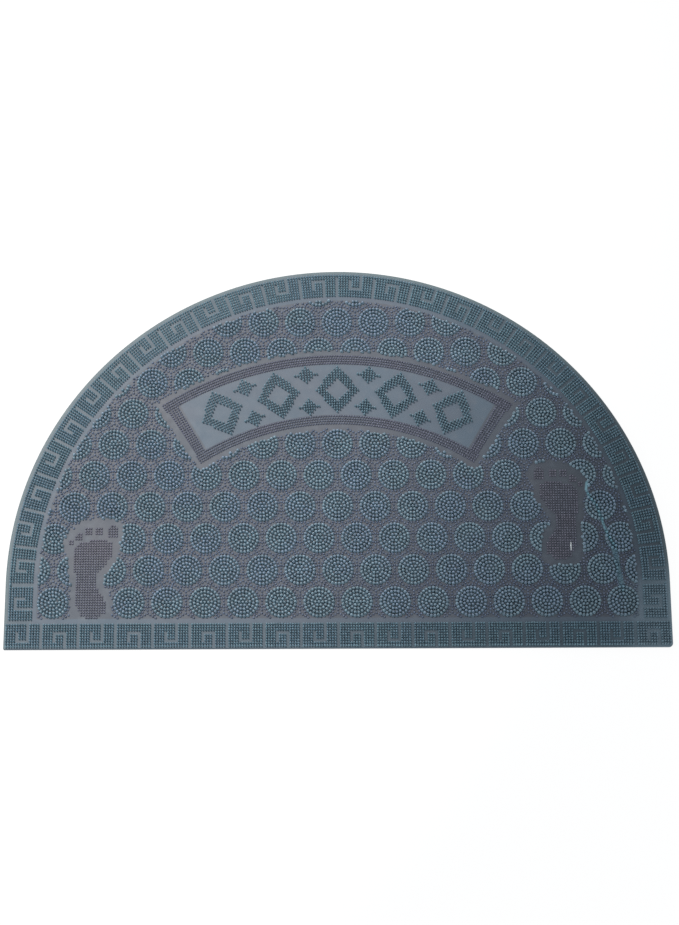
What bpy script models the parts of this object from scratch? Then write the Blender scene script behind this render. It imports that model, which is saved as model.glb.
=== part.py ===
"""Half round moulded rubber pin mat: one solid, metres, underside at z = 0, straight edge at -Y."""

import math

import bmesh
import bpy
from mathutils import Matrix, Vector

MM = 0.001
RUBBER_COLOR = (0.17, 0.2, 0.23, 1)
RUBBER_ROUGHNESS = 0.6

# Outline of the sheet
HALF_WIDTH = 375.0
ARC_RADIUS = 375.0
DEPTH = 450.0
BASE_Y = -DEPTH / 2
ARC_Y = BASE_Y + DEPTH - ARC_RADIUS
CORNER_LEFT, CORNER_RIGHT = 1.5, 4.5
RIM_CHAMFER = 0.8
ARC_STEPS = 64
CORNER_STEPS = 3

# Levels above the floor
FLOOR_Z = 2.6
LOW_Z = 4.4
FIELD_Z = 4.7
BORDER_Z = 6.6
DISC_Z = 6.9
ROOT_Z = 1.0

# Border of pin rows with the key lines left out of them
PITCH_ROWS = 3.05
COLUMNS = 14
FIRST_COLUMN, LAST_COLUMN = 1, 13
ROWS = 9
HALF_GAP = 0.6
PIN_EDGE = 0.4
SHORT_LEG, LONG_LEG = 5, 9
OUTER_BAR, INNER_BAR = 2, 5
BASE_UNITS = 18
UNIT = 2 * HALF_WIDTH / BASE_UNITS
BASE_ROW = 3.6
ARC_ROW = 5.6
END_RIM = 2.4
SIDE_START = 31.8
ARC_UNITS = 26

# Patterned field inside the smooth band
FIELD_RADIUS = 339.6
FIELD_BASE = 33.8
FIELD_STEPS = 48
DISC_PITCH = 42.82
DISC_ROW_PITCH = DISC_PITCH * math.sqrt(3) / 2
DISC_TOP_ROW = 386.7
DISC_RADIUS = 17.2
DISC_SIDES = 16
DISC_ROWS = range(-1, 10)
DISC_REACH = 8
EDGE_GAP = 0.35

# Arched panel
PANEL_Y = BASE_Y - 23.8
PANEL_OUTSIDE = (281.4, 373.6, 34.1)
PANEL_FRAME = (285.4, 369.4, 33.3)
PANEL_INSIDE = (297.2, 359.0, 30.7)
PANEL_MIDDLE = 328.0
PANEL_STEPS = 20
LOZENGES = 5
LOZENGE_STEP = 12.0
LOZENGE_OUT = (27.0, 28.5)
LOZENGE_IN = (12.5, 13.2)
DIAMOND = (13.0, 10.0)
DIAMOND_LIFT = 19.5

# Footprints: blocks of pins as (left, top, (rows, first column, last column), ...)
FOOT_COLUMN, FOOT_ROW = 2.9, 2.97
SOLE = (
    (1, 6, 12), (1, 2, 14), (1, 1, 14), (4, 0, 14), (1, 0, 13), (2, 0, 12),
    (1, 0, 11), (1, 0, 10), (1, 0, 9), (6, 1, 8), (2, 1, 9), (1, 1, 10),
    (2, 1, 11), (2, 1, 12), (2, 2, 12), (1, 3, 12), (1, 3, 10), (1, 5, 9),
)
FOOT_BLOCKS = (
    (0.0, 92.1, SOLE),
    (38.0, 109.0, ((1, 1, 2), (4, 0, 3))),
    (23.5, 106.1, ((3, 0, 2),)),
    (11.7, 106.1, ((3, 0, 2),)),
    (0.6, 99.8, ((1, 1, 2), (2, 0, 2))),
    (-6.2, 91.5, ((2, 0, 1),)),
)
FOOT_GROUND = (
    (3, -4.6), (36, -4.6), (42, 1), (43.5, 14), (42, 25), (39, 32), (34, 38),
    (30.5, 44.5), (35, 53), (43, 65), (49.5, 73), (49.5, 82), (53, 95),
    (55, 106), (49, 112.5), (27, 116), (14, 113.5), (-3, 102.5), (-9, 95.5),
    (-12, 86), (-7, 78), (-4.5, 72), (-4, 52), (-2, 42), (-1.2, 3),
)
FEET = ((1, -299.0, 34.3), (-1, 274.3, 100.8))


def clear_scene():
    for item in list(bpy.data.objects):
        bpy.data.objects.remove(item, do_unlink=True)


def arc(center_y, radius, start, end, steps):
    """Points on an arc about (0, center_y), angles in degrees from +X, both ends included."""
    angles = [math.radians(start + (end - start) * i / steps) for i in range(steps + 1)]
    return [(radius * math.cos(a), center_y + radius * math.sin(a)) for a in angles]


def fillet(corner, radius, start):
    """Quarter round of the given radius inside a square corner, turning anticlockwise."""
    x, y = corner
    center = (x - radius * (1 if start < 0 else -1), y + radius)
    angles = [math.radians(start + 90 * i / CORNER_STEPS) for i in range(CORNER_STEPS + 1)]
    return [(center[0] + radius * math.cos(a), center[1] + radius * math.sin(a)) for a in angles]


def sheet_outline(inset=0.0):
    half = HALF_WIDTH - inset
    low = BASE_Y + inset
    return (
        fillet((-half, low), CORNER_LEFT, 180)
        + fillet((half, low), CORNER_RIGHT, -90)
        + arc(ARC_Y, ARC_RADIUS - inset, 0, 180, ARC_STEPS)
    )


def field_outline(inset=0.0):
    radius = FIELD_RADIUS - inset
    low = BASE_Y + FIELD_BASE + inset
    return [(-radius, low), (radius, low)] + arc(ARC_Y, radius, 0, 180, FIELD_STEPS)


def panel_outline(size, grow=0.0):
    inner, outer, half_angle = size
    half_angle += math.degrees(grow / PANEL_MIDDLE)
    low = arc(PANEL_Y, inner - grow, 90 + half_angle, 90 - half_angle, PANEL_STEPS)
    high = arc(PANEL_Y, outer + grow, 90 - half_angle, 90 + half_angle, PANEL_STEPS)
    return low + high


def key_island(from_band):
    """Outline of one repeat in columns and rows: a pin field with a hooked line cut into it."""
    near, far = FIRST_COLUMN - PIN_EDGE, LAST_COLUMN + PIN_EDGE
    middle = (near + far) / 2
    rim, band = -PIN_EDGE, ROWS - 1 + PIN_EDGE
    short0, short1 = SHORT_LEG - HALF_GAP, SHORT_LEG + HALF_GAP
    long0, long1 = LONG_LEG - HALF_GAP, LONG_LEG + HALF_GAP
    if from_band:
        bar0, bar1, tip = OUTER_BAR - HALF_GAP, OUTER_BAR + HALF_GAP, INNER_BAR + HALF_GAP
        return [
            (near, band), (long0, band), (long0, bar1), (short1, bar1), (short1, tip),
            (short0, tip), (short0, bar0), (long1, bar0), (long1, band), (far, band),
            (far, rim), (middle, rim), (near, rim),
        ]
    bar0, bar1, tip = INNER_BAR - HALF_GAP, INNER_BAR + HALF_GAP, OUTER_BAR - HALF_GAP
    return [
        (near, rim), (long0, rim), (long0, bar0), (short1, bar0), (short1, tip),
        (short0, tip), (short0, bar1), (long1, bar1), (long1, rim), (far, rim),
        (far, band), (middle, band), (near, band),
    ]


def on_base(unit):
    def place(u, v):
        x = -HALF_WIDTH + UNIT * (unit + u / COLUMNS)
        limit = HALF_WIDTH - END_RIM
        return max(-limit, min(limit, x)), BASE_Y + BASE_ROW + PITCH_ROWS * v
    return place


def on_arc(unit):
    def place(u, v):
        angle = math.pi - math.pi * (unit + u / COLUMNS) / ARC_UNITS
        radius = ARC_RADIUS - ARC_ROW - PITCH_ROWS * v
        return radius * math.cos(angle), ARC_Y + radius * math.sin(angle)
    return place


def on_side(side):
    def place(u, v):
        x = side * (ARC_RADIUS - ARC_ROW - PITCH_ROWS * v)
        return x, BASE_Y + SIDE_START + UNIT * (COLUMNS - u) / COLUMNS
    return place


def on_panel(angle, lift):
    """Place by distance along the panel's middle line and away from it."""
    def place(s, t):
        radius = PANEL_MIDDLE + lift + t
        turn = math.radians(angle) + s / PANEL_MIDDLE
        return radius * math.sin(turn), PANEL_Y + radius * math.cos(turn)
    return place


def diamond(size, place):
    half, tall = size
    corners = [(half, 0), (0, tall), (-half, 0), (0, -tall)]
    return [place(s, t) for s, t in corners]


def block_outline(left, top, spans):
    """Stepped outline round rows of square pin cells."""
    right_side, left_side = [], []
    y = top
    for rows, first, last in spans:
        x0, x1 = left + first * FOOT_COLUMN, left + (last + 1) * FOOT_COLUMN
        if not right_side or right_side[-1][0] != x1:
            right_side.append((x1, y))
        if not left_side or left_side[-1][0] != x0:
            left_side.append((x0, y))
        y -= rows * FOOT_ROW
        if right_side[-1][0] == x1:
            right_side.append((x1, y))
        if left_side[-1][0] == x0:
            left_side.append((x0, y))
    return tidy(left_side[::-1] + right_side)


def tidy(points):
    """Drop points that repeat or lie inside a straight run."""
    kept = []
    count = len(points)
    for i, (x, y) in enumerate(points):
        ax, ay = points[i - 1]
        bx, by = points[(i + 1) % count]
        if abs((x - ax) * (by - y) - (y - ay) * (bx - x)) > 1e-6:
            kept.append((x, y))
    return kept


def foot_points(foot, points):
    mirror, x0, y0 = foot
    return [(x0 + mirror * x, BASE_Y + y0 + y) for x, y in points]


def add_mesh(bm, name, collection):
    bmesh.ops.recalc_face_normals(bm, faces=bm.faces)
    mesh = bpy.data.meshes.new(name)
    bm.to_mesh(mesh)
    bm.free()
    item = bpy.data.objects.new(name, mesh)
    collection.objects.link(item)
    return item


def prisms(name, outlines, low, high, collection):
    """One mesh of upright prisms, each on its own outline."""
    bm = bmesh.new()
    for outline in outlines:
        verts = [bm.verts.new((x * MM, y * MM, low * MM)) for x, y in outline]
        face = bm.faces.new(verts)
        grown = bmesh.ops.extrude_face_region(bm, geom=[face], use_keep_orig=True)
        top = [v for v in grown["geom"] if isinstance(v, bmesh.types.BMVert)]
        bmesh.ops.translate(bm, verts=top, vec=Vector((0, 0, (high - low) * MM)))
    return add_mesh(bm, name, collection)


def add_boolean(item, operation, other):
    modifier = item.modifiers.new(operation.lower(), "BOOLEAN")
    modifier.solver = "EXACT"
    modifier.operation = operation
    if isinstance(other, bpy.types.Collection):
        modifier.operand_type = "COLLECTION"
        modifier.collection = other
    else:
        modifier.object = other


def sheet(collection):
    """The base sheet, its upper rim chamfered."""
    item = prisms("mat", [sheet_outline()], 0, FLOOR_Z, collection)
    bm = bmesh.new()
    bm.from_mesh(item.data)
    edges = [e for e in bm.edges if all(v.co.z > ROOT_Z * MM for v in e.verts)]
    bmesh.ops.bevel(
        bm, geom=edges, offset=RIM_CHAMFER * MM, segments=1, profile=0.5,
        affect="EDGES", material=-1,
    )
    bm.to_mesh(item.data)
    bm.free()
    return item


def border(collection):
    islands = []
    for unit in range(BASE_UNITS):
        islands.append([on_base(unit)(u, v) for u, v in key_island(unit % 2 == 0)])
    for unit in range(ARC_UNITS):
        islands.append([on_arc(unit)(u, v) for u, v in key_island(unit % 2 == 0)])
    for side in (-1, 1):
        islands.append([on_side(side)(u, v) for u, v in key_island(True)])
    return prisms("border", islands, ROOT_Z, BORDER_Z, collection)


def field_block(name, inset, high, collection, cutters):
    """The patterned ground with the panel and the footprints cut out of it."""
    block = prisms(name, [field_outline(inset)], ROOT_Z, high, collection)
    holes = [panel_outline(PANEL_OUTSIDE, inset)]
    holes += [grown(foot_points(foot, FOOT_GROUND), inset) for foot in FEET]
    cut = prisms(f"{name}_cut", holes, ROOT_Z - 1, high + 1, cutters)
    add_boolean(block, "DIFFERENCE", cut)
    return block


def grown(points, amount):
    """The outline pushed outwards from its own middle by an amount."""
    if not amount:
        return points
    mx = sum(x for x, _ in points) / len(points)
    my = sum(y for _, y in points) / len(points)
    out = []
    for x, y in points:
        reach = math.hypot(x - mx, y - my)
        scale = 1 + amount / reach
        out.append((mx + (x - mx) * scale, my + (y - my) * scale))
    return out


def disc_centers():
    for row in DISC_ROWS:
        y = DISC_TOP_ROW - DISC_ROW_PITCH * row
        shift = DISC_PITCH / 2 if row % 2 else 0
        for k in range(-DISC_REACH, DISC_REACH + 1):
            x = k * DISC_PITCH + shift
            reach = math.hypot(x, max(0, y + BASE_Y - ARC_Y))
            if reach < FIELD_RADIUS + DISC_RADIUS:
                yield x, y + BASE_Y


def discs(collection, cutters):
    """Raised rounds in staggered rows, clipped to the patterned ground."""
    bm = bmesh.new()
    height = (DISC_Z - ROOT_Z) * MM
    for x, y in disc_centers():
        place = Matrix.Translation((x * MM, y * MM, ROOT_Z * MM + height / 2))
        bmesh.ops.create_cone(
            bm, cap_ends=True, segments=DISC_SIDES, radius1=DISC_RADIUS * MM,
            radius2=DISC_RADIUS * MM, depth=height, matrix=place,
        )
    item = add_mesh(bm, "discs", collection)
    limit = field_block("disc_limit", EDGE_GAP, DISC_Z + 1, cutters, cutters)
    limit.location.z = -EDGE_GAP * MM
    add_boolean(item, "INTERSECT", limit)
    return item


def panel(collection, cutters):
    """The panel's frame of low pins and the lozenge band inside it."""
    frame = prisms("panel_frame", [panel_outline(PANEL_FRAME)], ROOT_Z, LOW_Z, collection)
    inside = prisms(
        "panel_cut", [panel_outline(PANEL_INSIDE)], ROOT_Z - 1, LOW_Z + 1, cutters
    )
    add_boolean(frame, "DIFFERENCE", inside)
    first = -LOZENGE_STEP * (LOZENGES - 1) / 2
    angles = [first + LOZENGE_STEP * i for i in range(LOZENGES)]
    big = [diamond(LOZENGE_OUT, on_panel(a, 0)) for a in angles]
    open_ = [diamond(LOZENGE_IN, on_panel(a, 0)) for a in angles]
    rings = prisms("lozenges", big, ROOT_Z, DISC_Z, collection)
    cut = prisms("lozenge_cut", open_, ROOT_Z - 1, DISC_Z + 1, cutters)
    add_boolean(rings, "DIFFERENCE", cut)
    small = [
        diamond(DIAMOND, on_panel(a + LOZENGE_STEP / 2, lift))
        for a in angles[:-1]
        for lift in (-DIAMOND_LIFT, DIAMOND_LIFT)
    ]
    prisms("diamonds", small, ROOT_Z, DISC_Z, collection)


def footprints(collection):
    outlines = [
        foot_points(foot, block_outline(left, top, spans))
        for foot in FEET
        for left, top, spans in FOOT_BLOCKS
    ]
    return prisms("footprints", outlines, ROOT_Z, LOW_Z, collection)


def rubber():
    material = bpy.data.materials.new("moulded_rubber")
    material.use_nodes = True
    shader = material.node_tree.nodes["Principled BSDF"]
    shader.inputs["Base Color"].default_value = RUBBER_COLOR
    shader.inputs["Roughness"].default_value = RUBBER_ROUGHNESS
    return material


def main():
    clear_scene()
    scene = bpy.context.scene
    home = bpy.data.collections.new("half_round_pin_mat")
    reliefs = bpy.data.collections.new("reliefs")
    cutters = bpy.data.collections.new("cutters")
    scene.collection.children.link(home)
    scene.collection.children.link(reliefs)
    scene.collection.children.link(cutters)
    mat = sheet(home)
    border(reliefs)
    field_block("field", 0.0, FIELD_Z, reliefs, cutters)
    discs(reliefs, cutters)
    panel(reliefs, cutters)
    footprints(reliefs)
    for helper in list(reliefs.objects) + list(cutters.objects):
        helper.hide_render = True
        helper.display_type = "WIRE"
    add_boolean(mat, "UNION", reliefs)
    mat.data.materials.append(rubber())


main()
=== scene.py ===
"""Half round moulded rubber pin mat on a white floor, with a shaded and a low lamp at the left.

Sizes are in millimetres until a mesh is made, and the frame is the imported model's: X along the
straight edge, Y from the straight edge to the crown of the arc, Z up, the underside at z = 0.
"""

import logging
import math
import random
from collections.abc import Callable, Iterable, Iterator
from dataclasses import dataclass
from enum import Enum

import bmesh
import bpy
from mathutils import Euler, Matrix, Vector


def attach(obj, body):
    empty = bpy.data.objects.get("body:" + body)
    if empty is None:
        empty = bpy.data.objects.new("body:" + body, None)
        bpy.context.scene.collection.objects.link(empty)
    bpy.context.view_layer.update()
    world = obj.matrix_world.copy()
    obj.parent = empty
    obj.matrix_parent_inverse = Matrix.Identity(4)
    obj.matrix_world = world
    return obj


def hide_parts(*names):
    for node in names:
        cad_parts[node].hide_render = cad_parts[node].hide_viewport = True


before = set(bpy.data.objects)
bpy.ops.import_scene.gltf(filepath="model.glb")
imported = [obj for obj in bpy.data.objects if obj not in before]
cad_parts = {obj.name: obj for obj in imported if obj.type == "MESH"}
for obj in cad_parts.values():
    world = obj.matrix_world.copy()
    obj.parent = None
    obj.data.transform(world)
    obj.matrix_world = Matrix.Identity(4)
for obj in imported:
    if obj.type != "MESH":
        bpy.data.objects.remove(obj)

LOG = logging.getLogger("pin_mat")
MM = 0.001
BODY = "root"
NODE = "mat"

Point = tuple[float, float]
Place = Callable[[float, float], Point]
Tree = bpy.types.NodeTree
Socket = bpy.types.NodeSocket
Inputs = dict[str | int, object]


# Plan of the mat, shared by every sub-assembly


@dataclass(frozen=True)
class Plan:
    """Outline of the mat and the levels that everything on it stands at.

    Attributes:
        half_width: Half of the straight edge.
        depth: From the straight edge to the crown.
        radius: Radius of the arc.
        floor_z: Upper face of the sheet.
        pin_root: Depth below that face where the pins start.
        field_radius: Radius of the patterned ground.
        field_base: Lower side of the patterned ground, from the straight edge.
        band_inside: Radius and lower side of the smooth band's outer edge.
        rim_inside: Radius and lower side of the border inside the paler rim.
        arch_drop: Distance of the arched panel's centre below the straight edge.
        arch_inside: Inner radius, outer radius and half angle of the panel inside its frame.
        zone_blur: Width over which the colours of two smooth zones meet.
    """

    half_width: float = 375.0
    depth: float = 450.0
    radius: float = 375.0
    floor_z: float = 2.6
    pin_root: float = 0.3
    field_radius: float = 339.6
    field_base: float = 33.8
    band_inside: tuple[float, float] = (344.6, 28.6)
    rim_inside: tuple[float, float] = (372.6, -5.0)
    arch_drop: float = 23.8
    arch_inside: tuple[float, float, float] = (297.3, 358.3, 30.4)
    zone_blur: float = 1.5

    @property
    def base_y(self) -> float:
        """Y of the straight edge."""
        return -self.depth / 2

    @property
    def arc_y(self) -> float:
        """Y of the arc's centre."""
        return self.base_y + self.depth - self.radius

    def in_field(self, x: float, y: float, margin: float) -> bool:
        """Tell whether a point lies on the patterned ground, a margin inside its outline."""
        reach = math.hypot(x, max(0.0, y - self.arc_y))
        return reach < self.field_radius - margin and y > self.base_y + self.field_base + margin


PLAN = Plan()


class Level(Enum):
    """Tops of the four kinds of pin, above the floor."""

    LOW = 4.4
    GROUND = 4.7
    BORDER = 6.6
    ROUND = 6.9


# Finishes

MATH = "ShaderNodeMath"
VECTOR = "ShaderNodeVectorMath"
COORDINATES = "ShaderNodeTexCoord"
# Inputs 1 and 2 of a range are its limits, and 3 and 4 what they become, 0 and 1 unless given.
RANGE = "ShaderNodeMapRange"
EASED = {"interpolation_type": "SMOOTHSTEP"}
# Input 0 of a mix is the share of the second colour, 6 and 7 are the colours, output 2 is theirs.
MIX = "ShaderNodeMix"
COLORS = {"data_type": "RGBA"}
RUBBER_IOR = 1.52


def srgb(code: str) -> tuple[float, float, float, float]:
    """Turn an sRGB hex code into the linear colour that shaders take.

    Args:
        code: Six hex digits with a leading #.

    Returns:
        Linear red, green and blue, and an alpha of one.
    """
    parts = [int(code[i : i + 2], 16) / 255 for i in (1, 3, 5)]
    low = [c / 12.92 if c <= 0.04045 else ((c + 0.055) / 1.055) ** 2.4 for c in parts]
    return low[0], low[1], low[2], 1.0


def wire(tree: Tree, node: bpy.types.Node, inputs: Inputs) -> None:
    """Link and set a node's inputs.

    Args:
        tree: Node tree that holds the node.
        node: The node.
        inputs: Sockets to link, hex colours or other constants, by input name or index.
    """
    for key, item in inputs.items():
        if isinstance(item, Socket):
            tree.links.new(item, node.inputs[key])
        elif isinstance(item, str) and item.startswith("#"):
            node.inputs[key].default_value = srgb(item)
        else:
            node.inputs[key].default_value = item


def add_node(
    tree: Tree,
    kind: str,
    inputs: Inputs | None = None,
    output: int | str = 0,
    **settings: object,
) -> Socket | None:
    """Add one node with its settings, constants and links.

    Args:
        tree: Node tree that gets the node.
        kind: Blender's type name of the node.
        inputs: Sockets to link, hex colours or other constants, by input name or index.
        output: Name or index of the output that is wanted.
        **settings: Attributes of the node.

    Returns:
        That output, or None from a node that has no outputs.
    """
    node = tree.nodes.new(kind)
    for key, value in settings.items():
        setattr(node, key, value)
    wire(tree, node, inputs or {})
    return node.outputs[output] if node.outputs else None


def plan_place(tree: Tree) -> Socket:
    """Object coordinates flattened onto the floor."""
    place = add_node(tree, COORDINATES, output="Object")
    return add_node(tree, VECTOR, {0: place, 1: (1, 1, 0)}, operation="MULTIPLY")


def clouds(tree: Tree, size_mm: float, detail: float, seed: float) -> Socket:
    """Lay a cloudy pattern over the object's own coordinates.

    Args:
        tree: Node tree to work in.
        size_mm: Size of one cloud.
        detail: Octaves of finer clouds.
        seed: Offset that keeps two patterns apart.

    Returns:
        Output socket with the pattern, from 0 to 1.
    """
    place = add_node(tree, COORDINATES, output="Object")
    shift = (seed, seed * 0.7, 0)
    moved = add_node(tree, "ShaderNodeMapping", {"Vector": place, "Location": shift})
    scale = 1 / (size_mm * MM)
    inputs = {"Vector": moved, "Scale": scale, "Detail": detail, "Roughness": 0.55}
    return add_node(tree, "ShaderNodeTexNoise", inputs)


def patches(tree: Tree, size_mm: float, seed: float) -> Socket:
    """Cloudy pattern drawn together into soft-edged patches, 0 between them and 1 inside."""
    cloudy = clouds(tree, size_mm, 3, seed)
    return add_node(tree, RANGE, {0: cloudy, 1: 0.4, 2: 0.62}, **EASED)


def new_material(name: str) -> tuple[bpy.types.Material, Tree, bpy.types.Node]:
    """Make a material with its Principled shader.

    Args:
        name: The material's name.

    Returns:
        The material, its node tree and its Principled node.
    """
    material = bpy.data.materials.new(name)
    material.use_nodes = True
    tree = material.node_tree
    return material, tree, tree.nodes["Principled BSDF"]


@dataclass(frozen=True)
class Mark:
    """A mark on the rubber along a path of straight strokes: a thread, a stroke, a patch of
    painted sheen, a patch of painted shade.

    Attributes:
        path: Corners of the path, from the middle and up from the straight edge.
        core: Distance from the path inside which the mark is full.
        fade: Further distance over which it runs out.
        color: Its colour.
        strength: How much of the rubber's colour it hides.
    """

    path: tuple[Point, ...]
    core: float
    fade: float
    color: str
    strength: float

    def cover(self, tree: Tree, place: Socket) -> Socket:
        """Find how strongly the mark covers a place, from 0 to its strength."""
        most: Socket | float = 0.0
        for (ax, ay), (bx, by) in zip(self.path, self.path[1:]):
            run = Vector((bx - ax, by - ay, 0)) * MM
            start = Vector((ax, PLAN.base_y + ay, 0)) * MM
            scaled_run = run / run.length_squared
            off = add_node(tree, VECTOR, {0: place, 1: start}, operation="SUBTRACT")
            share = add_node(tree, VECTOR, {0: off, 1: scaled_run}, 1, operation="DOT_PRODUCT")
            held = add_node(tree, "ShaderNodeClamp", {0: share})
            spot = add_node(tree, VECTOR, {0: run, "Scale": held}, operation="SCALE")
            gap = add_node(tree, VECTOR, {0: off, 1: spot}, 1, operation="DISTANCE")
            limits = {1: (self.core + self.fade) * MM, 2: self.core * MM}
            near = add_node(tree, RANGE, {0: gap, **limits}, **EASED)
            most = add_node(tree, MATH, {0: near, 1: most}, operation="MAXIMUM")
        return add_node(tree, MATH, {0: most, 1: self.strength}, operation="MULTIPLY")


# A pale thread and its tail, a short white stroke and the paler lower right corner, which is
# painted sheen with some dust.
THREAD = ((285, 191), (284, 183), (287, 175), (294, 165), (301, 146), (307, 127), (312, 119))
THREAD_TAIL = ((312, 119), (315, 105), (317, 88), (321, 66))
MARKS = (
    Mark(THREAD, 0.6, 1.5, "#6F9AA8", 0.75),
    Mark(THREAD_TAIL, 1.6, 3.0, "#5F8795", 0.5),
    Mark(((264.4, 112.0), (264.4, 119.8)), 0.5, 0.5, "#DDE2E2", 0.9),
    # Paler lower right corner: painted sheen with some dust, on the sheet and the pins.
    Mark(((372, 8), (374, 42)), 18.0, 55.0, "#6A7D89", 0.6),
)
# On the sheet alone, a painted shade also darkens it towards the upper right.
SHEET_SHADE_AND_MARKS = (Mark(((335, 150), (300, 240)), 25.0, 90.0, "#232E38", 0.38), *MARKS)


def lay_marks_and_painted_light(tree: Tree, color: Socket, marks: tuple[Mark, ...] = MARKS) -> Socket:
    """Lay marks, among them painted sheen and painted shade, over a colour."""
    place = plan_place(tree)
    for mark in marks:
        layer = {0: mark.cover(tree, place), 6: color, 7: mark.color}
        color = add_node(tree, MIX, layer, 2, **COLORS)
    return color


def inner_zone(tree: Tree, radius: float, base: float) -> Socket:
    """Find the part of the mat inside a smaller outline.

    Args:
        tree: Node tree to work in.
        radius: Radius of that outline's arc.
        base: Its straight side's distance from the mat's straight edge.

    Returns:
        Output socket with 1 inside and 0 outside.
    """
    place = plan_place(tree)
    center = Vector((0, PLAN.arc_y, 0)) * MM
    off = add_node(tree, VECTOR, {0: place, 1: center}, operation="SUBTRACT")
    # Y below the arc's centre counts as 0, and X is never less than at the left end.
    least = (-PLAN.half_width * MM, 0, 0)
    held = add_node(tree, VECTOR, {0: off, 1: least}, operation="MAXIMUM")
    reach = add_node(tree, VECTOR, {0: held}, 1, operation="LENGTH")
    up = add_node(tree, "ShaderNodeSeparateXYZ", {0: place}, "Y")
    edge = PLAN.base_y + base
    arc_limits = {1: radius * MM, 2: (radius - PLAN.zone_blur) * MM}
    base_limits = {1: edge * MM, 2: (edge + PLAN.zone_blur) * MM}
    in_arc = add_node(tree, RANGE, {0: reach, **arc_limits}, **EASED)
    above = add_node(tree, RANGE, {0: up, **base_limits}, **EASED)
    return add_node(tree, MATH, {0: in_arc, 1: above}, operation="MULTIPLY")


def ground_zone(tree: Tree) -> Socket:
    """Find the patterned ground with its footprints, without the inside of the panel.

    Args:
        tree: Node tree to work in.

    Returns:
        Output socket with 1 in the zone and 0 on the border, the band and the panel's inside.
    """
    place = plan_place(tree)
    low, high, half = PLAN.arch_inside
    pole = Vector((0, PLAN.base_y - PLAN.arch_drop, 0)) * MM
    radius = add_node(tree, VECTOR, {0: place, 1: pole}, 1, operation="DISTANCE")
    across = add_node(tree, "ShaderNodeSeparateXYZ", {0: place}, "X")
    side = add_node(tree, MATH, {0: across}, operation="ABSOLUTE")
    sine = add_node(tree, MATH, {0: side, 1: radius}, operation="DIVIDE")
    end, blur, end_blur = math.sin(math.radians(half)), 0.6, 0.002
    limits = (
        (sine, end - end_blur, end + end_blur),
        (radius, (low + blur) * MM, (low - blur) * MM),
        (radius, (high - blur) * MM, (high + blur) * MM),
    )
    outside: Socket | float = 0.0
    for value, inner, outer in limits:
        past = add_node(tree, RANGE, {0: value, 1: inner, 2: outer}, **EASED)
        outside = add_node(tree, MATH, {0: past, 1: outside}, operation="MAXIMUM")
    field = inner_zone(tree, PLAN.field_radius, PLAN.field_base)
    return add_node(tree, MATH, {0: field, 1: outside}, operation="MULTIPLY")


@dataclass(frozen=True)
class SheetRubber:
    """Natural rubber pressed against a satin steel mould: a flat grey face with a dull bloom.

    The eye sees a matt grey with cloudy cool and warm patches and a weak broad shine, blue-green
    on the border and mauve where the low pins hold fine dust.

    Attributes:
        name: Material name.
        border: Colour between the border's pins, a little darker than the band: painted shade from
            the pins, with a teal tint.
        rim: Colour of the paler rim along the arc, a painted highlight of its rounded edge.
        cool: Colour of the cool patches.
        warm: Colour of the warm patches.
        ground_cool: Colour of the cool patches between the low pins.
        ground_warm: Colour of the warm patches between them.
        dust: Colour of the dust.
        dust_share: How much of the rubber's colour the dust hides.
        patch_mm: Size of the patches.
        dust_mm: Size of the clouds of dust.
        bloom_mm: Size of the patches that differ in gloss.
        roughness: Lowest and highest roughness.
        grain_mm: Pitch of the mould's fine grain, drawn as coarse as the picture can show.
        grain_depth: Depth of that grain.
    """

    name: str = "pressed_rubber_sheet"
    border: str = "#384A56"
    rim: str = "#485A60"
    cool: str = "#3B4C5B"
    warm: str = "#404C5A"
    ground_cool: str = "#353E4A"
    ground_warm: str = "#393F4A"
    dust: str = "#4A545F"
    dust_share: float = 0.6
    patch_mm: float = 70.0
    dust_mm: float = 9.0
    bloom_mm: float = 14.0
    roughness: tuple[float, float] = (0.46, 0.6)
    grain_mm: float = 1.1
    grain_depth: float = 0.2

    def base_color(self, tree: Tree) -> Socket:
        """Colour of the border, the rim, the smooth parts and the ground, under dust."""
        patchy = patches(tree, self.patch_mm, 3.0)
        # The rim along the arc is painted paler than the border: a painted highlight of its
        # rounded edge.
        inside_rim_highlight = inner_zone(tree, *PLAN.rim_inside)
        band_zone = inner_zone(tree, *PLAN.band_inside)
        smooth = add_node(tree, MIX, {0: patchy, 6: self.cool, 7: self.warm}, 2, **COLORS)
        # The border is a little darker than the band: painted shade from its pins, with a teal
        # tint.
        edge = add_node(tree, MIX, {0: inside_rim_highlight, 6: self.rim, 7: self.border}, 2, **COLORS)
        plain = add_node(tree, MIX, {0: band_zone, 6: edge, 7: smooth}, 2, **COLORS)
        ground_mix = {0: patchy, 6: self.ground_cool, 7: self.ground_warm}
        ground = add_node(tree, MIX, ground_mix, 2, **COLORS)
        color = add_node(tree, MIX, {0: ground_zone(tree), 6: plain, 7: ground}, 2, **COLORS)
        dusty = clouds(tree, self.dust_mm, 5, 11.0)
        dust = add_node(tree, RANGE, {0: dusty, 1: 0.45, 2: 0.8}, **EASED)
        share = add_node(tree, MATH, {0: dust, 1: self.dust_share}, operation="MULTIPLY")
        return add_node(tree, MIX, {0: share, 6: color, 7: self.dust}, 2, **COLORS)

    def build(self) -> bpy.types.Material:
        """Make the material."""
        material, tree, shader = new_material(self.name)
        low, high = self.roughness
        bloom = clouds(tree, self.bloom_mm, 4, 7.0)
        grain = clouds(tree, self.grain_mm, 3, 19.0)
        depth = {"Strength": 0.25, "Distance": self.grain_depth * MM}
        inputs = {
            # The sheet's marks include painted shade towards the upper right and painted sheen at
            # the lower right corner.
            "Base Color": lay_marks_and_painted_light(tree, self.base_color(tree), SHEET_SHADE_AND_MARKS),
            "Roughness": add_node(tree, RANGE, {0: bloom, 3: low, 4: high}),
            "IOR": RUBBER_IOR,
            "Normal": add_node(tree, "ShaderNodeBump", {"Height": grain, **depth}),
        }
        wire(tree, shader, inputs)
        return material


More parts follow.
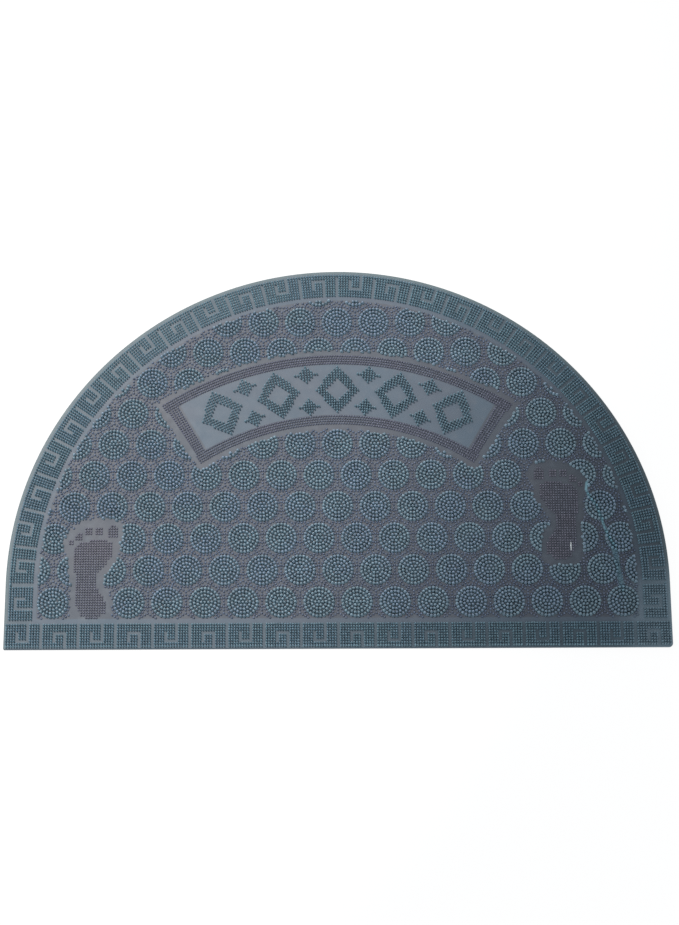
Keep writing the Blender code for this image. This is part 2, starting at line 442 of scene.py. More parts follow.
@dataclass(frozen=True)
class PinRubber:
    """The same rubber drawn up into pins, which leave the mould glossier and bluer at the tip.

    The eye sees dark flanks, paler blue-green ends and small differences from pin to pin. Where a
    foot is painted paler than its end, that is painted light lifting the shade between the pins.

    Attributes:
        name: Material name.
        root: Colour at the foot of a pin, paler than the end on the tall pins: painted light in
            the shade between them.
        tip: Colour of its end.
        other_tip: Colour of the ends in the cloudy patches.
        top_z: Height above the floor where the tip colour is full.
        roughness: Gloss of the ends.
        specular: Strength of their shine.
        spread: How far single pins differ in brightness.
        patch_mm: Size of the patches.
        grain_mm: Pitch of the mould's grain.
        grain_depth: Depth of that grain.
    """

    name: str
    root: str
    tip: str
    other_tip: str
    top_z: float
    roughness: float = 0.5
    specular: float = 0.3
    spread: float = 0.16
    patch_mm: float = 55.0
    grain_mm: float = 0.5
    grain_depth: float = 0.1

    def base_color(self, tree: Tree) -> Socket:
        """Colour from the foot to the end, a little different on each pin."""
        place = add_node(tree, COORDINATES, output="Object")
        height = add_node(tree, "ShaderNodeSeparateXYZ", {0: place}, "Z")
        margin = 0.2
        limits = {1: (PLAN.floor_z + margin) * MM, 2: (self.top_z - margin) * MM}
        rise = add_node(tree, RANGE, {0: height, **limits}, **EASED)
        patchy = patches(tree, self.patch_mm, 5.0)
        ends = add_node(tree, MIX, {0: patchy, 6: self.tip, 7: self.other_tip}, 2, **COLORS)
        color = add_node(tree, MIX, {0: rise, 6: self.root, 7: ends}, 2, **COLORS)
        shade = add_node(tree, "ShaderNodeAttribute", output="Fac", attribute_name="shade")
        lift = add_node(tree, RANGE, {0: shade, 3: 1 - self.spread, 4: 1 + self.spread})
        marked = lay_marks_and_painted_light(tree, color)
        return add_node(tree, VECTOR, {0: marked, "Scale": lift}, operation="SCALE")

    def build(self) -> bpy.types.Material:
        """Make the material."""
        material, tree, shader = new_material(self.name)
        grain = clouds(tree, self.grain_mm, 2, 23.0)
        depth = {"Strength": 0.2, "Distance": self.grain_depth * MM}
        inputs = {
            "Base Color": self.base_color(tree),
            "Roughness": self.roughness,
            "IOR": RUBBER_IOR,
            "Specular IOR Level": self.specular,
            "Normal": add_node(tree, "ShaderNodeBump", {"Height": grain, **depth}),
        }
        wire(tree, shader, inputs)
        return material


# The border, round and figure pins have feet painted paler than their ends: painted light that
# lifts the shade in the gaps between the pins.
BORDER_RUBBER = PinRubber("border_pin_rubber", "#80A2AF", "#5D747F", "#5B707F", Level.BORDER.value)
ROUND_RUBBER = PinRubber("round_pin_rubber", "#9BB8C5", "#71838E", "#6F7D90", Level.ROUND.value)
GROUND_RUBBER = PinRubber("ground_pin_rubber", "#616A7C", "#626A7B", "#5B697D", Level.GROUND.value)
FRAME_RUBBER = PinRubber("frame_pin_rubber", "#606473", "#5A5C6D", "#585F6E", Level.LOW.value)
FIGURE_RUBBER = PinRubber("figure_pin_rubber", "#7A95A1", "#5A717D", "#5B727F", Level.ROUND.value)
SOLE_RUBBER = PinRubber("sole_pin_rubber", "#666472", "#62616D", "#5C616E", Level.LOW.value)


@dataclass(frozen=True)
class FloorPaint:
    """Matt white paint of the studio floor, bright enough to read as plain white.

    Attributes:
        name: Material name.
        paint: Colour of the paint.
        roughness: Its gloss.
        glow: Strength of the light that it gives off itself.
    """

    name: str = "matt_white_floor"
    paint: str = "#5A5A5A"
    roughness: float = 0.9
    glow: float = 0.9

    def build(self) -> bpy.types.Material:
        """Make the material."""
        material, tree, shader = new_material(self.name)
        inputs = {
            "Base Color": self.paint,
            "Roughness": self.roughness,
            "Emission Color": "#FFFFFF",
            "Emission Strength": self.glow,
        }
        wire(tree, shader, inputs)
        return material


# Meshes


def add_object(name: str, data: bpy.types.ID) -> bpy.types.Object:
    """Put a mesh, light or camera into the scene as an object at the origin."""
    item = bpy.data.objects.new(name, data)
    bpy.context.scene.collection.objects.link(item)
    return item


def bevel(
    bm: bmesh.types.BMesh,
    parts: list[bmesh.types.BMVert] | list[bmesh.types.BMEdge],
    size: float,
    steps: int,
    affect: str,
) -> None:
    """Round edges or corners.

    Args:
        bm: What they belong to.
        parts: The edges or the corners.
        size: Size of the rounding.
        steps: Faces across it.
        affect: EDGES or VERTICES.
    """
    bmesh.ops.bevel(
        bm,
        geom=parts,
        offset=size * MM,
        segments=steps,
        profile=0.5,
        affect=affect,
        material=-1,
    )


def finish_mesh(bm: bmesh.types.BMesh, name: str) -> bpy.types.Mesh:
    """Turn a bmesh into a mesh with its faces outwards.

    Args:
        bm: Source, which is freed.
        name: Mesh name.

    Returns:
        The new mesh.
    """
    bmesh.ops.recalc_face_normals(bm, faces=bm.faces)
    mesh = bpy.data.meshes.new(name)
    bm.to_mesh(mesh)
    bm.free()
    return mesh


@dataclass(frozen=True)
class PinShape:
    """One moulded pin: a spreading foot, a tapered stub and a rounded end.

    Attributes:
        foot: Diameter of the foot where it runs out into the sheet.
        base: Diameter of the stub at its root.
        tip: Diameter at the end.
        top_z: Height of its end above the floor.
        foot_rise: Height of the foot above the sheet.
        rounding: Size of the rounding at the end.
        sides: Faces round the pin.
    """

    foot: float
    base: float
    tip: float
    top_z: float
    foot_rise: float
    rounding: float = 0.35
    sides: int = 6

    def build(self) -> bpy.types.Object:
        """Make the pin with its root on the origin."""
        low = PLAN.floor_z - PLAN.pin_root
        height = (self.top_z - low) * MM
        foot = (PLAN.pin_root + self.foot_rise) * MM
        bm = bmesh.new()
        bmesh.ops.create_cone(
            bm,
            cap_ends=True,
            segments=self.sides,
            radius1=self.foot / 2 * MM,
            radius2=self.base / 2 * MM,
            depth=foot,
            matrix=Matrix.Translation((0, 0, foot / 2)),
        )
        lid = max(bm.faces, key=lambda f: f.calc_center_median().z)
        end = bmesh.ops.extrude_face_region(bm, geom=[lid])["geom"]
        end = [v for v in end if isinstance(v, bmesh.types.BMVert)]
        bmesh.ops.translate(bm, verts=end, vec=(0, 0, height - foot))
        taper = self.tip / self.base
        bmesh.ops.scale(bm, verts=end, vec=(taper, taper, 1))
        bmesh.ops.delete(bm, geom=[lid], context="FACES_ONLY")
        rim = [e for e in bm.edges if all(v in end for v in e.verts)]
        bevel(bm, rim, self.rounding, 1, "EDGES")
        mesh = finish_mesh(bm, "pin_pattern")
        for face in mesh.polygons:
            # The buried end stays flat, or its normals would darken the foot.
            face.use_smooth = face.center.z > 0.01 * MM
        return add_object("pin_pattern", mesh)


BORDER_PIN = PinShape(foot=3.1, base=2.0, tip=1.7, top_z=Level.BORDER.value, foot_rise=1.0)
ROUND_PIN = PinShape(foot=4.9, base=2.4, tip=1.6, top_z=Level.ROUND.value, foot_rise=3.2)
FIGURE_PIN = PinShape(foot=3.2, base=2.1, tip=1.7, top_z=Level.ROUND.value, foot_rise=1.2)
LOW_PIN = PinShape(foot=3.4, base=2.0, tip=1.5, top_z=Level.LOW.value, foot_rise=0.8)
GROUND_PIN = PinShape(
    foot=3.8, base=2.0, tip=1.4, top_z=Level.GROUND.value, foot_rise=0.9, sides=5
)


@dataclass(frozen=True)
class Bed:
    """Pins that become one piece.

    Attributes:
        name: Name of the piece.
        places: Middles of the pins.
        shape: Shape of each pin.
        rubber: Finish of the piece.
    """

    name: str
    places: Iterable[Point]
    shape: PinShape
    rubber: PinRubber


@dataclass(frozen=True)
class PinPlanter:
    """Copies one pin to many places and joins the copies into one mesh.

    Attributes:
        lean_deg: Most that a pin leans from upright.
        growth: Most that a pin's height differs, as a share.
        seed: Seed of the differences.
    """

    lean_deg: float = 3.0
    growth: float = 0.03
    seed: int = 17

    def places_mesh(self, bed: Bed) -> bpy.types.Mesh:
        """Make a mesh of loose points that carry each pin's lean, size and shade.

        Args:
            bed: The pins.

        Returns:
            The mesh of points.
        """
        dice = random.Random(f"{bed.name}{self.seed}")
        lean_limit = math.radians(self.lean_deg)
        bm = bmesh.new()
        lean = bm.verts.layers.float_vector.new("lean")
        size = bm.verts.layers.float_vector.new("size")
        shade = bm.verts.layers.float.new("shade")
        root = (PLAN.floor_z - PLAN.pin_root) * MM
        for x, y in bed.places:
            vert = bm.verts.new((x * MM, y * MM, root))
            turn = dice.uniform(0, math.tau)
            tilt = dice.gauss(0, 0.5) * lean_limit
            vert[lean] = Vector((tilt * math.cos(turn), tilt * math.sin(turn), turn))
            vert[size] = Vector((1, 1, 1 + dice.uniform(-self.growth, 0)))
            vert[shade] = dice.random()
        return finish_mesh(bm, bed.name)

    def node_tree(self, pin: bpy.types.Object) -> Tree:
        """Make the node tree that sets a real copy of the pin on each point."""
        tree = bpy.data.node_groups.new("plant_pins", "GeometryNodeTree")
        for way in ("INPUT", "OUTPUT"):
            tree.interface.new_socket("Geometry", in_out=way, socket_type="NodeSocketGeometry")
        inputs = {
            "Points": add_node(tree, "NodeGroupInput"),
            "Instance": add_node(tree, "GeometryNodeObjectInfo", {"Object": pin}, "Geometry"),
        }
        for key, layer in (("Rotation", "lean"), ("Scale", "size")):
            kind, wanted = "GeometryNodeInputNamedAttribute", {"Name": layer}
            inputs[key] = add_node(tree, kind, wanted, "Attribute", data_type="FLOAT_VECTOR")
        copies = add_node(tree, "GeometryNodeInstanceOnPoints", inputs)
        real = add_node(tree, "GeometryNodeRealizeInstances", {0: copies})
        add_node(tree, "NodeGroupOutput", {0: real})
        return tree

    def plant(self, bed: Bed) -> bpy.types.Object:
        """Plant a bed's pins.

        Args:
            bed: The pins.

        Returns:
            The piece, with its finish.
        """
        pin = bed.shape.build()
        seedbed = add_object(bed.name + "_places", self.places_mesh(bed))
        modifier = seedbed.modifiers.new("plant", "NODES")
        modifier.node_group = self.node_tree(pin)
        graph = bpy.context.evaluated_depsgraph_get()
        mesh = bpy.data.meshes.new_from_object(seedbed.evaluated_get(graph))
        for key in ("lean", "size"):
            if key in mesh.attributes:
                mesh.attributes.remove(mesh.attributes[key])
        mesh.name = bed.name
        mesh.materials.clear()
        mesh.materials.append(bpy.data.materials.get(bed.rubber.name) or bed.rubber.build())
        for used in (seedbed, pin):
            bpy.data.objects.remove(used)
        return add_object(bed.name, mesh)


# Sub-assemblies


@dataclass(frozen=True)
class RubberSheet:
    """The half round sheet that carries every pin, with a rounded upper rim.

    Attributes:
        name: Name of the piece.
        corner_left: Rounding of the left corner of the straight edge.
        corner_right: Rounding of the right corner, worn rounder.
        corner_steps: Edges round each corner.
        rim_round: Rounding of the upper rim.
        rim_steps: Faces across that rounding.
        arc_steps: Edges along the arc.
    """

    name: str = "rubber_sheet"
    corner_left: float = 1.5
    corner_right: float = 4.5
    corner_steps: int = 5
    rim_round: float = 1.1
    rim_steps: int = 3
    arc_steps: int = 128

    def build(self, finish: SheetRubber) -> bpy.types.Object:
        """Make the sheet.

        Args:
            finish: Its rubber.

        Returns:
            The finished piece.
        """
        bm = bmesh.new()
        start = bm.verts.new((PLAN.half_width * MM, PLAN.arc_y * MM, 0))
        turn = {"cent": (0, PLAN.arc_y * MM, 0), "axis": (0, 0, 1), "angle": math.pi}
        bmesh.ops.spin(bm, geom=[start], steps=self.arc_steps, use_duplicate=False, **turn)
        near_zero = 0.0001 * MM
        ends = [v for v in bm.verts if abs(v.co.y - PLAN.arc_y * MM) < near_zero]
        low = bmesh.ops.extrude_vert_indiv(bm, verts=ends)["verts"]
        for vert in low:
            vert.co.y = PLAN.base_y * MM
        bm.edges.new(low)
        bmesh.ops.contextual_create(bm, geom=bm.edges)
        for vert in low:
            round_by = self.corner_left if vert.co.x < 0 else self.corner_right
            bevel(bm, [vert], round_by, self.corner_steps, "VERTICES")
        up = bmesh.ops.extrude_face_region(bm, geom=bm.faces[:], use_keep_orig=True)
        top = [v for v in up["geom"] if isinstance(v, bmesh.types.BMVert)]
        bmesh.ops.translate(bm, verts=top, vec=(0, 0, PLAN.floor_z * MM))
        rim = [e for e in bm.edges if all(v.co.z > PLAN.floor_z / 2 * MM for v in e.verts)]
        bevel(bm, rim, self.rim_round, self.rim_steps, "EDGES")
        piece = add_object(self.name, finish_mesh(bm, self.name))
        piece.data.materials.append(finish.build())
        return piece


class Hook(Enum):
    """Which side of the border the key line's long leg comes from."""

    FROM_BAND = "band"
    FROM_RIM = "rim"


@dataclass(frozen=True)
class KeyBorder:
    """Border of square pin rows, with a hooked key line left out of each repeat.

    Attributes:
        row_pitch: Distance between rows.
        rows: Rows across the border.
        columns: Columns in one repeat, the first of them left out as a divider.
        short_leg: Column of the key's short leg.
        long_leg: Column of its long leg.
        outer_bar: Row of the bar nearer the rim.
        inner_bar: Row of the bar nearer the band.
        arc_divider: First row that the dividers cross along the arc, where row 0 closes them.
        base_repeats: Repeats along the straight edge.
        arc_repeats: Repeats along the arc.
        base_inset: First row's distance from the straight edge.
        arc_inset: First row's distance from the arc.
        end_rim: Least distance of a pin from the sides.
        side_start: Lower end of the repeats beside the arc's ends.
    """

    row_pitch: float = 3.05
    rows: int = 9
    columns: int = 14
    short_leg: int = 5
    long_leg: int = 9
    outer_bar: int = 2
    inner_bar: int = 5
    arc_divider: int = 1
    base_repeats: int = 18
    arc_repeats: int = 26
    base_inset: float = 3.6
    arc_inset: float = 5.6
    end_rim: float = 2.4
    side_start: float = 31.8

    @property
    def repeat(self) -> float:
        """Length of one repeat along the straight edge."""
        return 2 * PLAN.half_width / self.base_repeats

    def is_line(self, column: int, row: int, hook: Hook, divider: int) -> bool:
        """Tell whether the key line leaves this pin out.

        Args:
            column: Column in the repeat.
            row: Row from the rim.
            hook: Which way the line comes in.
            divider: First row that the divider crosses.

        Returns:
            True where there is no pin.
        """
        on_divider = column == 0 and row >= divider
        on_short = column == self.short_leg and self.outer_bar <= row <= self.inner_bar
        if hook is Hook.FROM_BAND:
            bar, on_long = self.outer_bar, column == self.long_leg and row >= self.outer_bar
        else:
            bar, on_long = self.inner_bar, column == self.long_leg and row <= self.inner_bar
        on_bar = row == bar and self.short_leg <= column <= self.long_leg
        return on_divider or on_short or on_long or on_bar

    def repeat_pins(self, place: Place, hook: Hook, divider: int = 0) -> Iterator[Point]:
        """Places of the pins in one repeat, by way of its own placing function."""
        for column in range(self.columns):
            for row in range(self.rows):
                if not self.is_line(column, row, hook, divider):
                    yield place(column, row)

    def on_base(self, repeat: int) -> Place:
        """Placing function of one repeat on the straight edge."""

        def place(column: float, row: float) -> Point:
            x = -PLAN.half_width + self.repeat * (repeat + column / self.columns)
            limit = PLAN.half_width - self.end_rim
            return max(-limit, min(limit, x)), PLAN.base_y + self.base_inset + self.row_pitch * row

        return place

    def on_arc(self, repeat: int) -> Place:
        """Placing function of one repeat on the arc."""

        def place(column: float, row: float) -> Point:
            angle = math.pi * (1 - (repeat + column / self.columns) / self.arc_repeats)
            radius = PLAN.radius - self.arc_inset - self.row_pitch * row
            return radius * math.cos(angle), PLAN.arc_y + radius * math.sin(angle)

        return place

    def on_side(self, side: int) -> Place:
        """Placing function of the repeat beside one end of the arc."""

        def place(column: float, row: float) -> Point:
            x = side * (PLAN.radius - self.arc_inset - self.row_pitch * row)
            up = self.repeat * (self.columns - column) / self.columns
            return x, PLAN.base_y + self.side_start + up

        return place

    def base_pins(self) -> Iterator[Point]:
        """Pins of the straight edge."""
        for repeat in range(self.base_repeats):
            hook = Hook.FROM_RIM if repeat % 2 else Hook.FROM_BAND
            yield from self.repeat_pins(self.on_base(repeat), hook)

    def arc_pins(self) -> Iterator[Point]:
        """Pins of the arc and of the two repeats beside its ends."""
        for repeat in range(self.arc_repeats):
            hook = Hook.FROM_RIM if repeat % 2 else Hook.FROM_BAND
            yield from self.repeat_pins(self.on_arc(repeat), hook, self.arc_divider)
        for side in (-1, 1):
            yield from self.repeat_pins(self.on_side(side), Hook.FROM_BAND, self.arc_divider)

    def beds(self) -> list[Bed]:
        """Pins of the straight edge and of the arc."""
        return [
            Bed("border_pins_straight", self.base_pins(), BORDER_PIN, BORDER_RUBBER),
            Bed("border_pins_arc", self.arc_pins(), BORDER_PIN, BORDER_RUBBER),
        ]


@dataclass(frozen=True)
class ArchPanel:
    """Arched panel: a frame of low pins round a smooth ground with lozenges of tall pins.

    Attributes:
        outside: Inner radius, outer radius and half angle of the smooth line round the frame.
        half_angle: Half angle of the frame.
        inner_rows: Radii of the frame's lower rows.
        outer_rows: Radii of its upper rows.
        end_angles: Angles of the rows at its ends.
        column: Distance between pins along the rows.
        middle: Radius of the panel's middle line.
        lozenges: Lozenges along the middle line.
        step: Angle from one lozenge to the next.
        outer_half: Half diagonals of a lozenge.
        inner_half: Half diagonals of its opening.
        small_half: Half diagonals of the small diamonds between lozenges.
        small_lift: Distance of the small diamonds from the middle line.
        grid: Distance between the pins in the figures.
        play: Strip along a figure's outline that its pins keep clear of.
    """

    outside: tuple[float, float, float] = (281.4, 373.6, 34.1)
    half_angle: float = 33.3
    inner_rows: tuple[float, ...] = (286.9, 289.85, 292.8, 295.75)
    outer_rows: tuple[float, ...] = (359.9, 362.8, 365.7, 368.6)
    end_angles: tuple[float, ...] = (31.05, 31.6, 32.15, 32.7)
    column: float = 2.92
    middle: float = 328.0
    lozenges: int = 5
    step: float = 12.0
    outer_half: Point = (27.0, 28.5)
    inner_half: Point = (12.5, 13.2)
    small_half: Point = (13.0, 10.0)
    small_lift: float = 19.5
    grid: float = 3.0
    play: float = 0.6

    def at(self, radius: float, degrees: float) -> Point:
        """Point at a radius and an angle from upright, clockwise."""
        turn = math.radians(degrees)
        return radius * math.sin(turn), PLAN.base_y - PLAN.arch_drop + radius * math.cos(turn)

    def covers(self, x: float, y: float, margin: float) -> bool:
        """Tell whether the panel, with a margin round it, covers a point."""
        dy = y - PLAN.base_y + PLAN.arch_drop
        radius, degrees = math.hypot(x, dy), math.degrees(math.atan2(abs(x), dy))
        low, high, half = self.outside
        slack = math.degrees(margin / radius)
        return low - margin < radius < high + margin and degrees < half + slack

    def frame_pins(self) -> Iterator[Point]:
        """Pins of the frame: two bands of rows and the two ends between them."""
        for radius in self.inner_rows + self.outer_rows:
            half = self.half_angle - math.degrees(self.column / 2 / radius)
            count = round(2 * math.radians(half) * radius / self.column)
            for i in range(count + 1):
                yield self.at(radius, -half + 2 * half * i / count)
        low, high = self.inner_rows[-1], self.outer_rows[0]
        rows = round((high - low) / self.column)
        for i in range(1, rows):
            for angle in self.end_angles:
                for side in (-1, 1):
                    yield self.at(low + (high - low) * i / rows, side * angle)

    def figure(self, angle: float, lift: float, outer: Point, inner: Point) -> Iterator[Point]:
        """Pins of one figure on a square grid.

        Args:
            angle: Its angle from upright.
            lift: Its distance from the middle line.
            outer: Half diagonals of its outline.
            inner: Half diagonals of its opening, or zeros.

        Yields:
            Middles of the pins.
        """
        reach = int(max(outer) / self.grid) + 1
        for i in range(-reach, reach + 1):
            for j in range(-reach, reach + 1):
                s, t = i * self.grid, j * self.grid
                out = abs(s) / (outer[0] - self.play) + abs(t) / (outer[1] - self.play)
                within = abs(s) / (inner[0] + self.play) + abs(t) / (inner[1] + self.play)
                if out > 1 or (inner[0] and within < 1):
                    continue
                yield self.at(self.middle + lift + t, angle + math.degrees(s / self.middle))

    def figure_pins(self) -> Iterator[Point]:
        """Pins of all lozenges and small diamonds."""
        angles = [self.step * (i - (self.lozenges - 1) / 2) for i in range(self.lozenges)]
        for angle in angles:
            yield from self.figure(angle, 0, self.outer_half, self.inner_half)
        for angle in angles[:-1]:
            for lift in (-self.small_lift, self.small_lift):
                yield from self.figure(angle + self.step / 2, lift, self.small_half, (0, 0))

    def beds(self) -> list[Bed]:
        """Pins of the frame and of the figures."""
        return [
            Bed("panel_frame_pins", self.frame_pins(), LOW_PIN, FRAME_RUBBER),
            Bed("panel_figure_pins", self.figure_pins(), FIGURE_PIN, FIGURE_RUBBER),
        ]


@dataclass(frozen=True)
class Footprint:
    """One footprint: a smooth ground with a sole and five toes of low pins on a square grid.

    Attributes:
        mirror: 1 for the left foot's shape, -1 for the right foot's.
        x0: Place of the sole's left side.
        y0: Place of the sole's heel, from the straight edge.
        column: Distance between columns.
        row: Distance between rows.
        ground: Outline of the smooth ground.
        blocks: Each block's left side, top, and runs of (rows, first column, last column).
    """

    mirror: int
    x0: float
    y0: float
    column: float = 2.9
    row: float = 2.97
    ground: tuple[Point, ...] = (
        (3, -4.6), (36, -4.6), (42, 1), (43.5, 14), (42, 25), (39, 32), (34, 38),
        (30.5, 44.5), (35, 53), (43, 65), (49.5, 73), (49.5, 82), (53, 95),
        (55, 106), (49, 112.5), (27, 116), (14, 113.5), (-3, 102.5), (-9, 95.5),
        (-12, 86), (-7, 78), (-4.5, 72), (-4, 52), (-2, 42), (-1.2, 3),
    )
    blocks: tuple[tuple[float, float, tuple[tuple[int, int, int], ...]], ...] = (
        (0.0, 92.1, (
            (1, 6, 12), (1, 2, 14), (1, 1, 14), (4, 0, 14), (1, 0, 13), (2, 0, 12),
            (1, 0, 11), (1, 0, 10), (1, 0, 9), (6, 1, 8), (2, 1, 9), (1, 1, 10),
            (2, 1, 11), (2, 1, 12), (2, 2, 12), (1, 3, 12), (1, 3, 10), (1, 5, 9),
        )),
        (38.0, 109.0, ((1, 1, 2), (4, 0, 3))),
        (23.5, 106.1, ((3, 0, 2),)),
        (11.7, 106.1, ((3, 0, 2),)),
        (0.6, 99.8, ((1, 1, 2), (2, 0, 2))),
        (-6.2, 91.5, ((2, 0, 1),)),
    )

    def place(self, x: float, y: float) -> Point:
        """Turn a point of the foot into a point of the mat."""
        return self.x0 + self.mirror * x, PLAN.base_y + self.y0 + y

    def covers(self, x: float, y: float, margin: float) -> bool:
        """Tell whether the smooth ground, with a margin round it, covers a point."""
        outline = [self.place(*p) for p in self.ground]
        inside, nearest = False, math.inf
        for (ax, ay), (bx, by) in zip(outline, outline[1:] + outline[:1]):
            if (ay > y) != (by > y) and x < ax + (y - ay) * (bx - ax) / (by - ay):
                inside = not inside
            dx, dy = bx - ax, by - ay
            share = max(0.0, min(1.0, ((x - ax) * dx + (y - ay) * dy) / (dx * dx + dy * dy)))
            nearest = min(nearest, math.hypot(x - ax - share * dx, y - ay - share * dy))
        return inside or nearest < margin

    def pins(self) -> Iterator[Point]:
        """Pins of the sole and the toes."""
        for left, top, runs in self.blocks:
            down = 0
            for rows, first, last in runs:
                for _ in range(rows):
                    for column in range(first, last + 1):
                        x = left + (column + 0.5) * self.column
                        yield self.place(x, top - (down + 0.5) * self.row)
                    down += 1


@dataclass(frozen=True)
class Footprints:
    """The pair of footprints.

    Attributes:
        feet: The left and the right foot.
    """

    feet: tuple[Footprint, ...] = (Footprint(1, -299.0, 34.3), Footprint(-1, 274.3, 100.8))

    def beds(self) -> list[Bed]:
        """Pins of both footprints, as one bed."""
        pins = (p for foot in self.feet for p in foot.pins())
        return [Bed("footprint_pins", pins, LOW_PIN, SOLE_RUBBER)]


@dataclass(frozen=True)
class PatternGround:
    """Patterned ground: rounds of tall pins in staggered rows, with low pins between them.

    Attributes:
        panel: Arched panel that the ground leaves free.
        feet: Footprints that it leaves free.
        pitch: Distance between rounds in a row.
        top_row: Middle of the highest full row, from the straight edge.
        rows: Rows of rounds, counted from that one downwards.
        reach: Rounds to each side of the middle.
        rings: Radius, number of pins and starting angle of each ring of a round.
        line_pins: Steps of the low pins along one side of a round's cell.
        corner_ring: Radius of the low pins that close the cell's corners.
        corner_angles: Their angles from the corner.
        round_margin: Least distance of the tall pins from whatever borders the ground.
        low_margin: The same for the low pins.
        cell: Size of the squares of which only one in nine may hold a low pin.
    """

    panel: ArchPanel
    feet: tuple[Footprint, ...]
    pitch: float = 42.82
    top_row: float = 386.7
    rows: range = range(-1, 10)
    reach: int = 8
    rings: tuple[tuple[float, int, float], ...] = (
        (0.0, 1, 0.0),
        (4.0, 6, 0.0),
        (8.0, 13, 3.7),
        (12.0, 19, -5.0),
        (16.0, 25, 88.5),
    )
    line_pins: int = 7
    corner_ring: float = 19.3
    corner_angles: tuple[float, ...] = (-16.0, -5.5, 5.5, 16.0)
    round_margin: float = 1.2
    low_margin: float = 1.0
    cell: float = 0.5

    def is_free(self, x: float, y: float, margin: float) -> bool:
        """Tell whether a pin may stand here."""
        if not PLAN.in_field(x, y, margin) or self.panel.covers(x, y, margin):
            return False
        return not any(foot.covers(x, y, margin) for foot in self.feet)

    def centers(self, odd: bool) -> Iterator[Point]:
        """Middles of the rounds in every second row."""
        for row in self.rows:
            if row % 2 == odd:
                y = PLAN.base_y + self.top_row - self.pitch * math.sqrt(3) / 2 * row
                for k in range(-self.reach, self.reach + 1):
                    x = (k + (0.5 if odd else 0.0)) * self.pitch
                    reach = math.hypot(x, max(0.0, y - PLAN.arc_y))
                    if reach < PLAN.field_radius + self.pitch / 2:
                        yield x, y

    def round_pins(self, odd: bool) -> Iterator[Point]:
        """Tall pins of the rounds in every second row."""
        for cx, cy in self.centers(odd):
            for radius, count, start in self.rings:
                for i in range(count):
                    angle = math.radians(start + 360 * i / count)
                    x, y = cx + radius * math.cos(angle), cy + radius * math.sin(angle)
                    if self.is_free(x, y, self.round_margin):
                        yield x, y

    def low_pins(self) -> Iterator[Point]:
        """Low pins along the cells' sides and in their corners, none of them twice."""
        seen: set[tuple[int, int]] = set()
        corner = self.pitch / math.sqrt(3)
        for odd in (False, True):
            for cx, cy in self.centers(odd):
                for side in range(6):
                    a = math.radians(30 + 60 * side)
                    b = a + math.radians(60)
                    for i in range(self.line_pins):
                        s = i / self.line_pins
                        yield from self.once(
                            seen,
                            cx + corner * ((1 - s) * math.cos(a) + s * math.cos(b)),
                            cy + corner * ((1 - s) * math.sin(a) + s * math.sin(b)),
                        )
                    for turn in self.corner_angles:
                        t = a + math.radians(turn)
                        x = cx + self.corner_ring * math.cos(t)
                        y = cy + self.corner_ring * math.sin(t)
                        yield from self.once(seen, x, y)

    def once(self, seen: set[tuple[int, int]], x: float, y: float) -> Iterator[Point]:
        """Yield a point if it is free and hasn't been used."""
        key = (round(x / self.cell), round(y / self.cell))
        around = {(key[0] + i, key[1] + j) for i in (-1, 0, 1) for j in (-1, 0, 1)}
        if not seen & around and self.is_free(x, y, self.low_margin):
            seen.add(key)
            yield x, y

    def beds(self) -> list[Bed]:
        """Rounds in even rows, rounds in odd rows, and low pins."""
        return [
            Bed("round_pins_even", self.round_pins(False), ROUND_PIN, ROUND_RUBBER),
            Bed("round_pins_odd", self.round_pins(True), ROUND_PIN, ROUND_RUBBER),
            Bed("ground_pins", self.low_pins(), GROUND_PIN, GROUND_RUBBER),
        ]


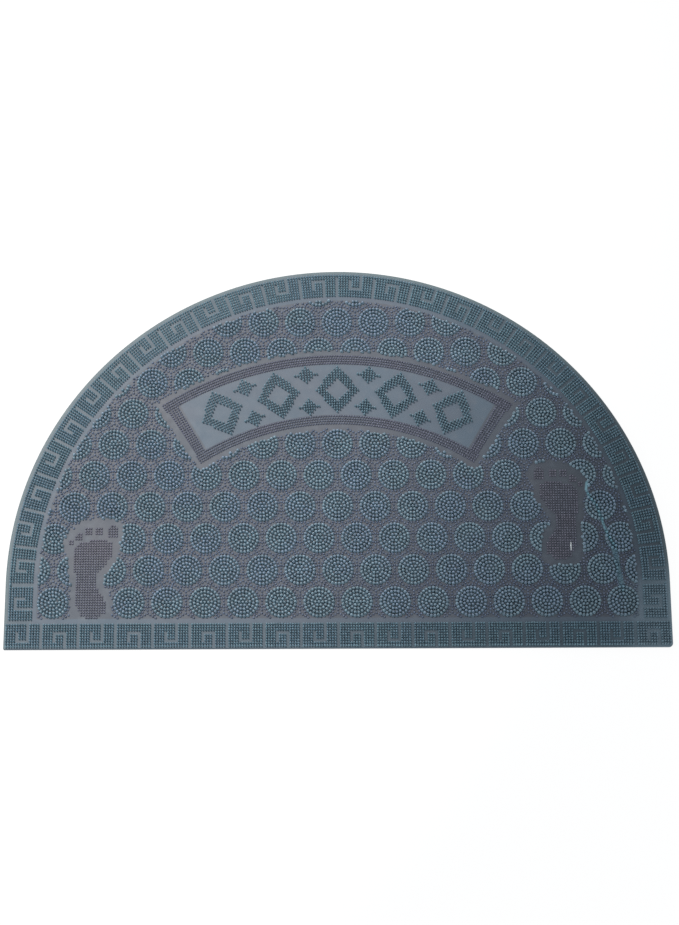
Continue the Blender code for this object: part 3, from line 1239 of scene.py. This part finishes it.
@dataclass(frozen=True)
class Studio:
    """Floor, lamp, surrounding light and camera.

    Attributes:
        floor_size: Side of the floor, in metres.
        floor_drop: How far the floor lies below the mat, so that the faces don't meet.
        lamp_at: Place of the lamp, in metres.
        lamp_aim: Point that it is aimed at.
        lamp_radius: Radius of the lamp, in metres.
        lamp_cone: Full angle of its shade, in degrees.
        lamp_blend: Softness of the shade's edge.
        lamp_watts: Its power.
        lamp_color: Its colour.
        strip_at: Place of the long low lamp to the left.
        strip_size: Its height and length.
        strip_watts: Its power.
        sky: Strength of the light from all round.
        sky_color: Colour of that light.
        camera_at: Place of the camera, in metres.
        camera_turn: Its turn, in radians.
        lens: Its focal length.
        sensor: Width of its picture.
    """

    floor_size: float = 30.0
    floor_drop: float = 0.0003
    lamp_at: tuple[float, float, float] = (-1.2, 1.5, 3.3)
    lamp_aim: tuple[float, float, float] = (-0.908, 0.553, 0.0)
    lamp_radius: float = 0.15
    lamp_cone: float = 36.4
    lamp_blend: float = 0.04
    lamp_watts: float = 590.0
    lamp_color: str = "#FFF9F4"
    strip_at: tuple[float, float, float] = (-4.0, 1.2, 1.5)
    strip_size: tuple[float, float] = (0.7, 4.0)
    strip_watts: float = 34.0
    sky: float = 0.8
    sky_color: str = "#F6FBFF"
    camera_at: tuple[float, float, float] = (-0.00529, -0.65557, 2.27038)
    camera_turn: tuple[float, float, float] = (0.277795, -0.001977, -0.004884)
    lens: float = 80.0
    sensor: float = 36.0

    def floor(self) -> None:
        """Make the floor."""
        bm = bmesh.new()
        place = Matrix.Translation((0, 0, -self.floor_drop))
        size = self.floor_size / 2
        bmesh.ops.create_grid(bm, x_segments=1, y_segments=1, size=size, matrix=place)
        item = add_object("studio_floor", finish_mesh(bm, "studio_floor"))
        item.data.materials.append(FloorPaint().build())

    def lamp(self) -> None:
        """Make the shaded lamp over the left part of the mat."""
        light = bpy.data.lights.new("shaded_lamp", "SPOT")
        light.shadow_soft_size = self.lamp_radius
        light.spot_size = math.radians(self.lamp_cone)
        light.spot_blend = self.lamp_blend
        light.energy = self.lamp_watts
        # A ray that meets the small lamp by chance would leave a white speck.
        light.cycles.use_multiple_importance_sampling = False
        light.color = srgb(self.lamp_color)[:3]
        item = add_object("shaded_lamp", light)
        item.location = self.lamp_at
        way = Vector(self.lamp_aim) - Vector(self.lamp_at)
        item.rotation_euler = way.to_track_quat("-Z", "Y").to_euler()

    def strip(self) -> None:
        """Make the long low lamp to the left, which skims over the pins."""
        light = bpy.data.lights.new("strip_lamp", "AREA")
        light.shape = "RECTANGLE"
        light.size, light.size_y = self.strip_size
        light.energy = self.strip_watts
        back = Vector(self.strip_at).normalized()
        along = Vector((0, 1, 0))
        turn = Matrix((along.cross(back), along, back)).transposed()
        item = add_object("strip_lamp", light)
        item.matrix_world = Matrix.LocRotScale(Vector(self.strip_at), turn, None)

    def surround(self) -> None:
        """Give the world an even pale light."""
        world = bpy.data.worlds.new("pale_surround")
        world.use_nodes = True
        light = {"Color": self.sky_color, "Strength": self.sky}
        wire(world.node_tree, world.node_tree.nodes["Background"], light)
        bpy.context.scene.world = world

    def camera(self) -> None:
        """Make the camera and use it."""
        data = bpy.data.cameras.new("camera")
        data.lens = self.lens
        data.sensor_width = self.sensor
        item = add_object("camera", data)
        item.location = self.camera_at
        item.rotation_euler = Euler(self.camera_turn, "XYZ")
        bpy.context.scene.camera = item

    def build(self) -> None:
        """Make the whole studio."""
        for make in (self.floor, self.lamp, self.strip, self.surround, self.camera):
            make()
        bpy.context.scene.view_settings.view_transform = "Standard"


def main() -> None:
    """Build, dress and report every piece."""
    logging.basicConfig(level=logging.INFO, format="%(name)s: %(message)s")
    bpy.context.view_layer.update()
    Studio().build()
    planter = PinPlanter()
    panel, prints = ArchPanel(), Footprints()
    sheet = RubberSheet()
    body = sheet.build(SheetRubber())
    parts = (KeyBorder(), PatternGround(panel, prints.feet), panel, prints)
    pins = [planter.plant(bed) for part in parts for bed in part.beds()]
    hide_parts(NODE)
    for piece in [body, *pins]:
        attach(piece, BODY)
        piece.data.calc_loop_triangles()
        LOG.info("%s: %d triangles", piece.name, len(piece.data.loop_triangles))


if __name__ == "__main__":
    main()
